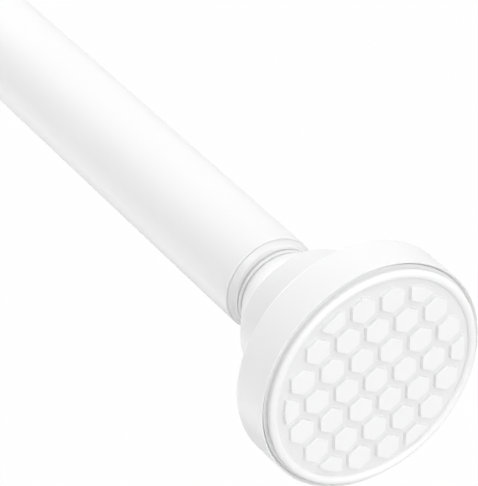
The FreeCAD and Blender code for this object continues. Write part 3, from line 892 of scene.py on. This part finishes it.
def floor_finish(stage):
    """Matt white floor; what the camera sees of it is mostly plain white."""
    finish, tree, shader, _ = new_finish("floor_paint", stage.floor_tone, Roughness=0.9)
    plain = add_node(tree, "ShaderNodeEmission", {}, {"Color": (1, 1, 1, 1), "Strength": 1.0})
    seen = add_node(tree, "ShaderNodeLightPath").outputs["Is Camera Ray"]
    share = add_node(tree, "ShaderNodeMapRange", {}, {
        "Value": seen, "To Min": 0.0, "To Max": stage.floor_plain}).outputs["Result"]
    both = add_node(tree, "ShaderNodeMixShader", {}, {
        0: share, 1: shader.outputs["BSDF"], 2: plain.outputs["Emission"]})
    output = tree.nodes["Material Output"]
    tree.links.new(both.outputs["Shader"], output.inputs["Surface"])
    return finish


def add_lamp(name, kind, side, energy):
    """A lamp that shines from one side."""
    deselect_all()
    bpy.ops.object.light_add(type=kind)
    lamp = bpy.context.object
    lamp.name = name
    lamp.data.energy = energy
    lamp.rotation_mode = "QUATERNION"
    lamp.rotation_quaternion = Vector(side).to_track_quat("Z", "Y")
    return lamp


def light_rod(stage):
    """Five wide soft lamps all round, and a panel below and behind the large end."""
    for name, side, strength, spread in (
            ("front_lamp", (-1, 0, 0.1), stage.front, stage.spread),
            ("front_above_lamp", (-0.7, 0, 0.7), stage.front_above, stage.spread),
            ("upper_right_lamp", (0, -0.7, 0.7), stage.upper_right, stage.spread),
            ("upper_left_lamp", (0, 0.7, 0.7), stage.upper_left, stage.spread),
            ("rear_lamp", (1, 0, 0.2), stage.rear, stage.rear_spread)):
        add_lamp(name, "SUN", side, strength).data.angle = spread
    panel = add_lamp("under_lamp", "AREA", UNDER_SIDE, stage.under)
    panel.data.size = UNDER_SIZE
    panel.location = UNDER_TARGET + UNDER_SIDE.normalized() * UNDER_DISTANCE


def add_camera(stage):
    """The photograph's camera."""
    bpy.ops.object.camera_add()
    camera = bpy.context.object
    camera.name = "photo_camera"
    up = VIEW_BACK.cross(VIEW_RIGHT)
    turn = Matrix((VIEW_RIGHT, up, VIEW_BACK)).transposed()
    camera.location = VIEW_TARGET + turn @ VIEW_OFFSET
    camera.rotation_mode = "QUATERNION"
    camera.rotation_quaternion = turn.to_quaternion()
    camera.data.lens = LENS
    camera.data.sensor_width = SENSOR
    camera.data.sensor_fit = "AUTO"
    camera.data.clip_end = stage.floor_size
    bpy.context.scene.camera = camera


def add_floor(stage):
    """The floor under the rod."""
    deselect_all()
    bpy.ops.mesh.primitive_plane_add(
        size=stage.floor_size, location=(ROD_END / 2, 0, -stage.floor_drop))
    floor = bpy.context.object
    floor.name = "floor"
    settle(floor)
    floor.data.materials.append(floor_finish(stage))


def white_surround(strength):
    """Even light from all round; the camera and reflections see it as plain white."""
    world = bpy.data.worlds.new("white_surround")
    bpy.context.scene.world = world
    world.use_nodes = True
    tree = world.node_tree
    light = tree.nodes["Background"]
    light.inputs["Color"].default_value = (1, 1, 1, 1)
    light.inputs["Strength"].default_value = strength
    white = add_node(tree, "ShaderNodeBackground", {}, {"Color": (1, 1, 1, 1), "Strength": 1.0})
    path = add_node(tree, "ShaderNodeLightPath")
    either = add_node(tree, "ShaderNodeMath", {"operation": "MAXIMUM"}, {
        0: path.outputs["Is Camera Ray"], 1: path.outputs["Is Glossy Ray"]})
    seen = add_node(tree, "ShaderNodeMath", {"operation": "MAXIMUM"}, {
        0: either.outputs["Value"], 1: path.outputs["Is Transmission Ray"]})
    both = add_node(tree, "ShaderNodeMixShader", {}, {
        0: seen.outputs["Value"], 1: light.outputs["Background"],
        2: white.outputs["Background"]})
    tree.links.new(both.outputs["Shader"], tree.nodes["World Output"].inputs["Surface"])


class ROD_OT_stage(Operator):
    """Sets the floor, the soft light and the photograph's camera"""

    bl_idname = "rod.stage"
    bl_label = "Stage"

    def execute(self, context):
        stage = context.scene.rod_stage
        add_floor(stage)
        white_surround(stage.surround)
        light_rod(stage)
        add_camera(stage)
        context.scene.view_settings.view_transform = "Standard"
        return {"FINISHED"}


class ROD_PT_sidebar(Panel):
    """Lists the steps that dress the rod"""

    bl_idname = "ROD_PT_sidebar"
    bl_label = "Tension Rod"
    bl_space_type = "VIEW_3D"
    bl_region_type = "UI"
    bl_category = "Rod"

    def draw(self, context):
        layout = self.layout
        for group, names in (
                (context.scene.rod_sizes, RodSizes.__annotations__),
                (context.scene.rod_colours, RodColours.__annotations__),
                (context.scene.rod_stage, RodStage.__annotations__)):
            box = layout.box()
            for name in names:
                box.prop(group, name)
        for step in STEPS:
            layout.operator(step.bl_idname)


STEPS = (
    ROD_OT_finishes, ROD_OT_wall_pads, ROD_OT_pressure_spring, ROD_OT_lead_screw,
    ROD_OT_stage)
GROUPS = {"rod_sizes": RodSizes, "rod_colours": RodColours, "rod_stage": RodStage}


def register():
    """Registers the values, the steps and the panel."""
    for name, group in GROUPS.items():
        bpy.utils.register_class(group)
        setattr(bpy.types.Scene, name, PointerProperty(type=group))
    for step in (*STEPS, ROD_PT_sidebar):
        bpy.utils.register_class(step)


def unregister():
    """Takes the panel, the steps and the values away."""
    for step in reversed((*STEPS, ROD_PT_sidebar)):
        bpy.utils.unregister_class(step)
    for name, group in reversed(list(GROUPS.items())):
        delattr(bpy.types.Scene, name)
        bpy.utils.unregister_class(group)


def main():
    """Dresses the rod step by step."""
    register()
    bpy.ops.rod.finishes()
    bpy.ops.rod.wall_pads()
    bpy.ops.rod.pressure_spring()
    bpy.ops.rod.lead_screw()
    bpy.ops.rod.stage()


if __name__ == "__main__":
    main()
